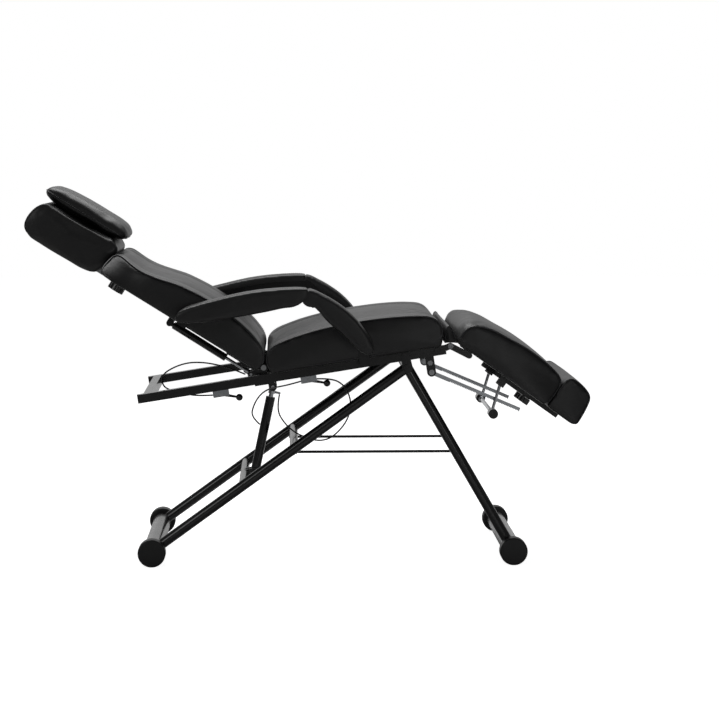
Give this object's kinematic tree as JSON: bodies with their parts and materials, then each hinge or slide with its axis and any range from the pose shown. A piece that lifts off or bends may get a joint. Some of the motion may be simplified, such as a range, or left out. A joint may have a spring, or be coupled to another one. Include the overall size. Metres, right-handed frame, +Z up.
{
  "type": "tattoo chair",
  "caption": "Adjustable padded tattoo chair with tilting seat, reclining backrest, sliding headrest and face pillow, leg rest and armrests on a crossed tube base.",
  "frame": {"origin": "on the floor, in the chair's mid-plane, halfway between the two foot bars", "axes": "+X towards the foot end, +Y towards the sitter's left, +Z up"},
  "size_m": [1.634, 0.778, 1.0882],
  "materials": {
    "upholstery": "black grained imitation leather with piping and stitched seams",
    "black_steel": "gloss black powder coat",
    "bright_steel": "bright chrome and zinc plate",
    "black_plastic": "black moulded plastic",
    "plywood": "plywood stained black"
  },
  "bodies": {
    "base": {"foot_bars": "black_steel", "foot_caps": "black_plastic", "brace_tubes": "black_steel", "front_legs": "black_steel", "apex_tube": "black_steel", "base_crossbars": "black_steel", "tie_rods": "black_steel", "base_bolts": "black_steel"},
    "lift_cylinder": {"lift_cylinder": "black_steel"},
    "lift_rod": {"lift_rod": "bright_steel"},
    "lift_release": {"lift_release_arm": "bright_steel"},
    "seat": {"seat_rails": "black_steel", "rail_plugs": "black_plastic", "seat_crossbars": "black_steel", "pivot_plate": "black_steel", "seat_lugs": "black_steel", "seat_bolts": "bright_steel", "lever_brackets": "bright_steel", "seat_arm_brackets": "black_steel", "seat_cushion": "upholstery", "seat_cushion_rear": "upholstery", "seat_board": "plywood", "seat_flap": "upholstery", "back_cable": "black_plastic", "lift_cables": "black_plastic"},
    "back": {"back_cushion": "upholstery", "back_board": "plywood", "back_hinge_leaves": "black_steel", "back_arm_brackets": "black_steel", "spring_bracket": "black_steel", "head_sleeve": "black_steel"},
    "back_cylinder": {"back_cylinder": "black_steel"},
    "back_rod": {"back_rod": "bright_steel"},
    "back_release": {"back_release_arm": "bright_steel"},
    "headrest": {"headrest_cushion": "upholstery", "headrest_post": "bright_steel"},
    "pillow": {"face_pillow": "upholstery"},
    "head_knob": {"head_lock_knob": "black_plastic"},
    "leg": {"leg_cushion": "upholstery", "leg_board": "plywood", "leg_hinge_leaves": "black_steel", "latch_yokes": "black_steel", "foot_sleeve": "black_steel"},
    "latch": {"latch_frame": "bright_steel", "latch_grips": "black_plastic"},
    "rack_left": {"rack_left": "bright_steel"},
    "rack_right": {"rack_right": "bright_steel"},
    "foot": {"foot_cushion": "upholstery", "foot_slide": "black_steel"},
    "foot_knob": {"foot_lock_knob": "black_plastic"},
    "back_lever": {"back_hand_lever": "black_steel"},
    "lift_lever": {"lift_hand_lever": "black_steel"},
    "arm_front_left": {"arm_front_pad_left": "upholstery", "arm_front_link_left": "black_steel"},
    "arm_upper_left": {"arm_upper_pad_left": "upholstery", "arm_upper_link_left": "black_steel"},
    "arm_front_right": {"arm_front_pad_right": "upholstery", "arm_front_link_right": "black_steel"},
    "arm_upper_right": {"arm_upper_pad_right": "upholstery", "arm_upper_link_right": "black_steel"}
  },
  "joints": [
    {"name": "seat_tilt", "type": "hinge", "parent": "base", "child": "seat", "pos_m": [0.2145, 0, 0.57], "axis": [0, -1, 0], "range_deg": [-11, 1], "deforming": ["lift_cables"]},
    {"name": "lift_cylinder_swing", "type": "hinge", "parent": "base", "child": "lift_cylinder", "pos_m": [-0.22748, 0, 0.23436], "axis": [0, -1, 0], "range_deg": [-1, 5]},
    {"name": "lift_rod_slide", "type": "slide", "parent": "lift_cylinder", "child": "lift_rod", "axis": [0.2068, 0, 0.9784], "range_m": [-0.008, 0.074]},
    {"name": "lift_release_turn", "type": "hinge", "parent": "lift_rod", "child": "lift_release", "pos_m": [-0.17716, 0, 0.47242], "axis": [0, -1, 0], "range_deg": [0, 11]},
    {"name": "back_recline", "type": "hinge", "parent": "seat", "child": "back", "pos_m": [-0.1985, 0, 0.56898], "axis": [0, -1, 0], "range_deg": [-45, 40], "deforming": ["seat_cushion_rear", "back_cable"]},
    {"name": "back_cylinder_swing", "type": "hinge", "parent": "back", "child": "back_cylinder", "pos_m": [-0.47944, 0, 0.68097], "axis": [0, -1, 0], "range_deg": [-2, 2]},
    {"name": "back_rod_slide", "type": "slide", "parent": "back_cylinder", "child": "back_rod", "axis": [0.8443, 0, -0.5359], "range_m": [-0.037, 0.042]},
    {"name": "back_release_turn", "type": "hinge", "parent": "back_rod", "child": "back_release", "pos_m": [-0.25114, 0, 0.53606], "axis": [0, -1, 0], "range_deg": [0, 11]},
    {"name": "headrest_slide", "type": "slide", "parent": "back", "child": "headrest", "axis": [-0.848, 0, 0.5299], "range_m": [0, 0.1]},
    {"name": "face_pillow_slide", "type": "slide", "parent": "headrest", "child": "pillow", "axis": [-0.8754, 0, 0.4834], "range_m": [-0.02, 0.04]},
    {"name": "head_lock_turn", "type": "hinge", "parent": "back", "child": "head_knob", "pos_m": [-0.6247, 0, 0.80404], "axis": [0.5299, 0, 0.848], "range_deg": [0, 360]},
    {"name": "leg_rest_swing", "type": "hinge", "parent": "seat", "child": "leg", "pos_m": [0.33747, 0, 0.63301], "axis": [0, -1, 0], "range_deg": [-30, 45], "deforming": ["seat_flap"]},
    {"name": "latch_handle", "type": "hinge", "parent": "leg", "child": "latch", "pos_m": [0.49067, 0, 0.51268], "axis": [0, -1, 0], "range_deg": [-18, 0]},
    {"name": "foot_extension", "type": "slide", "parent": "leg", "child": "foot", "axis": [0.8141, 0, -0.5807], "range_m": [0, 0.1]},
    {"name": "foot_lock_turn", "type": "hinge", "parent": "leg", "child": "foot_knob", "pos_m": [0.58472, 0, 0.46647], "axis": [0.5807, 0, 0.8141], "range_deg": [0, 360]},
    {"name": "back_lever_press", "type": "hinge", "parent": "seat", "child": "back_lever", "pos_m": [-0.32026, -0.25, 0.49441], "axis": [0, -1, 0], "range_deg": [0, 20], "stiffness_Nm_per_rad": 1},
    {"name": "lift_lever_press", "type": "hinge", "parent": "seat", "child": "lift_lever", "pos_m": [-0.0684, -0.25, 0.53431], "axis": [0, -1, 0], "range_deg": [0, 20], "stiffness_Nm_per_rad": 1},
    {"name": "rack_left_swing", "type": "hinge", "parent": "seat", "child": "rack_left", "pos_m": [0.29054, 0.16, 0.54701], "axis": [0, -1, 0], "range_deg": [-31, 46]},
    {"name": "arm_front_left_swing", "type": "hinge", "parent": "seat", "child": "arm_front_left", "pos_m": [0.0845, 0.302, 0.63203], "axis": [0, -1, 0], "range_deg": [-50, 45]},
    {"name": "arm_upper_left_swing", "type": "hinge", "parent": "arm_front_left", "child": "arm_upper_left", "pos_m": [-0.0635, 0.302, 0.776], "axis": [0, -1, 0], "range_deg": [-38, 43]},
    {"name": "rack_right_swing", "type": "hinge", "parent": "seat", "child": "rack_right", "pos_m": [0.29054, -0.16, 0.54701], "axis": [0, -1, 0], "range_deg": [-31, 46]},
    {"name": "arm_front_right_swing", "type": "hinge", "parent": "seat", "child": "arm_front_right", "pos_m": [0.0845, -0.302, 0.63203], "axis": [0, -1, 0], "range_deg": [-50, 45]},
    {"name": "arm_upper_right_swing", "type": "hinge", "parent": "arm_front_right", "child": "arm_upper_right", "pos_m": [-0.0635, -0.302, 0.776], "axis": [0, -1, 0], "range_deg": [-38, 43]}
  ],
  "couplings": [
    {"joint": "lift_cylinder_swing", "follows": "seat_tilt", "ratio": -0.402},
    {"joint": "lift_rod_slide", "follows": "seat_tilt", "m_per_rad": -0.3776},
    {"joint": "back_cylinder_swing", "follows": "back_recline", "ratio": 0.0376},
    {"joint": "back_rod_slide", "follows": "back_recline", "m_per_rad": -0.0511},
    {"joint": "back_release_turn", "follows": "back_lever_press", "ratio": 0.5},
    {"joint": "lift_release_turn", "follows": "lift_lever_press", "ratio": 0.5},
    {"joint": "rack_left_swing", "follows": "leg_rest_swing", "ratio": 1},
    {"joint": "arm_front_left_swing", "follows": "back_recline", "ratio": 1.104},
    {"joint": "arm_upper_left_swing", "follows": "back_recline", "ratio": -0.935},
    {"joint": "rack_right_swing", "follows": "leg_rest_swing", "ratio": 1},
    {"joint": "arm_front_right_swing", "follows": "back_recline", "ratio": 1.104},
    {"joint": "arm_upper_right_swing", "follows": "back_recline", "ratio": -0.935}
  ]
}
